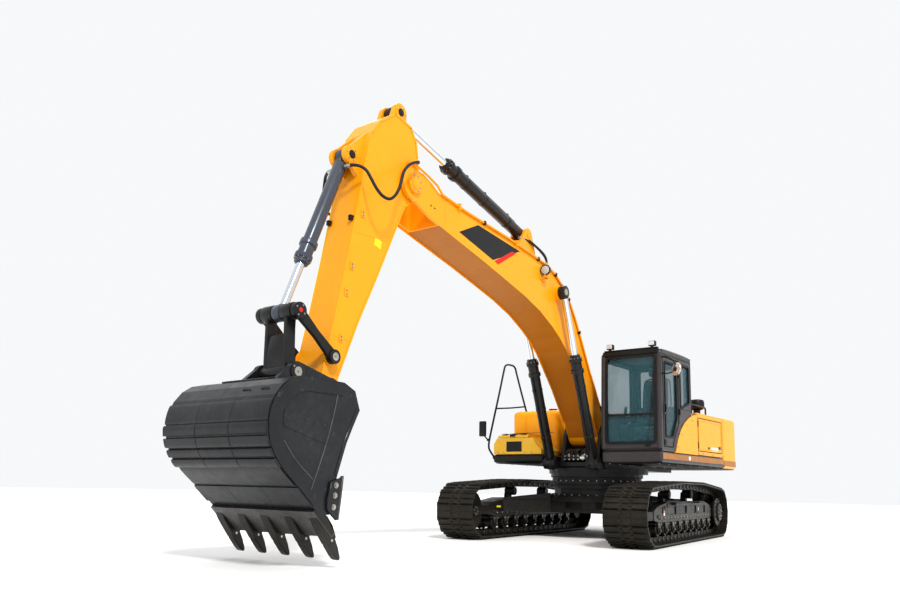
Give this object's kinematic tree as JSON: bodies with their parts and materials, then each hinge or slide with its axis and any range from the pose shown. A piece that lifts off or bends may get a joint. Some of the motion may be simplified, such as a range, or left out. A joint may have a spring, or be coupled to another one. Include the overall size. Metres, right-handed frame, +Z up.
{
  "type": "crawler excavator",
  "caption": "Crawler excavator with a bent boom, arm and hinged bucket on hydraulic cylinders, a glazed cab, rounded counterweight and a wide tracked undercarriage.",
  "frame": {"origin": "on the ground, under the middle of the machine's box at rest", "axes": "+X forward along the boom, +Y to the machine's left (cab side), +Z up"},
  "size_m": [10.94, 3.7627, 5.4333],
  "materials": {
    "yellow_paint": "semi-gloss orange-yellow machine paint",
    "bright_yellow_paint": "semi-gloss brighter yellow paint",
    "black_paint": "satin black paint, dusty",
    "cab_grey_paint": "semi-gloss charcoal paint",
    "cylinder_blue_grey": "satin blue-grey paint",
    "track_steel": "dark brown-black worn steel",
    "chrome_rod": "hard chrome, polished",
    "cab_glass": "clear glass with a light blue-green tint",
    "interior_plastic": "matte dark grey plastic",
    "seat_fabric": "dark woven fabric",
    "hose_rubber": "black hydraulic hose rubber"
  },
  "bodies": {
    "undercarriage": {"carbody": "black_paint", "slew_ring": "black_paint", "track_frame_left": "black_paint", "track_frame_right": "black_paint", "track_left": "track_steel", "track_right": "track_steel", "idler_left": "track_steel", "idler_right": "track_steel", "sprocket_left": "black_paint", "sprocket_right": "black_paint", "lower_rollers_left": "black_paint", "lower_rollers_right": "black_paint"},
    "house": {"main_frame": "black_paint", "left_deck": "cab_grey_paint", "right_deck": "black_paint", "counterweight": "yellow_paint", "engine_housing": "yellow_paint", "engine": "track_steel", "cab_shell": "cab_grey_paint", "windscreen": "cab_glass", "right_cab_glass": "cab_glass", "rear_cab_glass": "cab_glass", "quarter_glass": "cab_glass", "operator_station": "interior_plastic", "seat_cushion": "seat_fabric", "seat_back": "seat_fabric", "roof_lamps": "black_paint", "left_mirror": "black_paint", "right_mirror": "black_paint", "fuel_tank": "yellow_paint", "toolbox": "bright_yellow_paint", "valve_block": "track_steel", "handrail": "black_paint"},
    "boom": {"boom": "yellow_paint", "boom_pipes": "black_paint", "arm_hose_left": "hose_rubber", "arm_hose_right": "hose_rubber"},
    "boom_cylinders": {"boom_cylinder_left": "black_paint", "boom_cylinder_right": "black_paint"},
    "boom_rods": {"boom_rod_left": "chrome_rod", "boom_rod_right": "chrome_rod"},
    "arm_cylinder": {"arm_cylinder": "black_paint"},
    "arm_rod": {"arm_rod": "chrome_rod"},
    "arm": {"arm": "yellow_paint"},
    "bucket_cylinder": {"bucket_cylinder": "cylinder_blue_grey"},
    "bucket_rod": {"bucket_rod": "chrome_rod"},
    "idler_links": {"idler_link_left": "black_paint", "idler_link_right": "black_paint"},
    "bucket": {"bucket": "black_paint", "bucket_teeth": "track_steel"},
    "bucket_link": {"bucket_link": "black_paint"},
    "cab_door": {"cab_door": "cab_grey_paint", "door_glass": "cab_glass"},
    "engine_hood": {"engine_hood": "yellow_paint"},
    "toolbox_lid": {"toolbox_lid": "bright_yellow_paint"},
    "left_side_door": {"left_side_door": "yellow_paint"},
    "right_side_door": {"right_side_door": "yellow_paint"},
    "roof_hatch": {"roof_hatch": "cab_grey_paint"}
  },
  "joints": [
    {"name": "swing", "type": "hinge", "parent": "undercarriage", "child": "house", "pos_m": [-2.395, -0.0058, 0.98], "axis": [0, 0, 1], "continuous": true},
    {"name": "boom_lift", "type": "hinge", "parent": "house", "child": "boom", "pos_m": [-2.095, -0.0058, 1.68], "axis": [0, 1, 0], "range_deg": [-32, 68]},
    {"name": "arm_swing", "type": "hinge", "parent": "boom", "child": "arm", "pos_m": [2.935, -0.0058, 4.41], "axis": [0, -1, 0], "range_deg": [-52, 68], "deforming": ["arm_hose_left", "arm_hose_right"]},
    {"name": "bucket_curl", "type": "hinge", "parent": "arm", "child": "bucket", "pos_m": [4.225, -0.0058, 1.75], "axis": [0, -1, 0], "range_deg": [-115, 45]},
    {"name": "boom_cylinder_tilt", "type": "hinge", "parent": "house", "child": "boom_cylinders", "pos_m": [-1.535, -0.0058, 1.19], "axis": [0, 1, 0], "range_deg": [-33, 69]},
    {"name": "boom_cylinder_stroke", "type": "slide", "parent": "boom_cylinders", "child": "boom_rods", "axis": [0.3499, 0, 0.9368], "range_m": [-0.735, 0.35]},
    {"name": "arm_cylinder_tilt", "type": "hinge", "parent": "boom", "child": "arm_cylinder", "pos_m": [0.025, -0.0058, 4.56], "axis": [0, -1, 0], "range_deg": [-4, 5]},
    {"name": "arm_cylinder_stroke", "type": "slide", "parent": "arm_cylinder", "child": "arm_rod", "axis": [0.9699, 0, 0.2433], "range_m": [-1, 0.765]},
    {"name": "bucket_cylinder_tilt", "type": "hinge", "parent": "arm", "child": "bucket_cylinder", "pos_m": [3.885, -0.0058, 4.49], "axis": [0, -1, 0], "range_deg": [-1.3, 0.6]},
    {"name": "bucket_cylinder_stroke", "type": "slide", "parent": "bucket_cylinder", "child": "bucket_rod", "axis": [0.3862, 0, -0.9224], "range_m": [-0.38, 0.955]},
    {"name": "idler_link_swing", "type": "hinge", "parent": "arm", "child": "idler_links", "pos_m": [4.195, -0.0058, 2.11], "axis": [0, -1, 0], "range_deg": [-91, 36.5]},
    {"name": "bucket_link_swing", "type": "hinge", "parent": "bucket", "child": "bucket_link", "pos_m": [4.705, -0.0058, 1.89], "axis": [0, -1, 0], "range_deg": [-26, 65.5]},
    {"name": "cab_door_hinge", "type": "hinge", "parent": "house", "child": "cab_door", "pos_m": [-2.283, 1.4942, 2.14], "axis": [0, 0, 1], "range_deg": [0, 165]},
    {"name": "engine_hood_hinge", "type": "hinge", "parent": "house", "child": "engine_hood", "pos_m": [-3.097, -0.0058, 2.082], "axis": [0, 1, 0], "range_deg": [0, 65]},
    {"name": "toolbox_lid_hinge", "type": "hinge", "parent": "house", "child": "toolbox_lid", "pos_m": [-2.084, -1.1758, 1.703], "axis": [0, -1, 0], "range_deg": [0, 75]},
    {"name": "left_side_door_hinge", "type": "hinge", "parent": "house", "child": "left_side_door", "pos_m": [-3.098, 1.4952, 1.72], "axis": [0, 0, -1], "range_deg": [0, 85]},
    {"name": "right_side_door_hinge", "type": "hinge", "parent": "house", "child": "right_side_door", "pos_m": [-3.098, -1.5068, 1.72], "axis": [0, 0, 1], "range_deg": [0, 85]},
    {"name": "roof_hatch_hinge", "type": "hinge", "parent": "house", "child": "roof_hatch", "pos_m": [-2.489, 0.9892, 2.971], "axis": [0, -1, 0], "range_deg": [0, 60]}
  ],
  "couplings": [
    {"joint": "boom_cylinder_tilt", "follows": "boom_lift", "ratio": 0.99},
    {"joint": "boom_cylinder_stroke", "follows": "boom_lift", "m_per_rad": -0.61},
    {"joint": "arm_cylinder_tilt", "follows": "arm_swing", "ratio": 0.07},
    {"joint": "arm_cylinder_stroke", "follows": "arm_swing", "m_per_rad": -0.83},
    {"joint": "bucket_cylinder_tilt", "follows": "bucket_curl", "ratio": 0.01},
    {"joint": "bucket_cylinder_stroke", "follows": "bucket_curl", "m_per_rad": -0.47},
    {"joint": "idler_link_swing", "follows": "bucket_curl", "ratio": 0.78},
    {"joint": "bucket_link_swing", "follows": "bucket_curl", "ratio": -0.56}
  ]
}
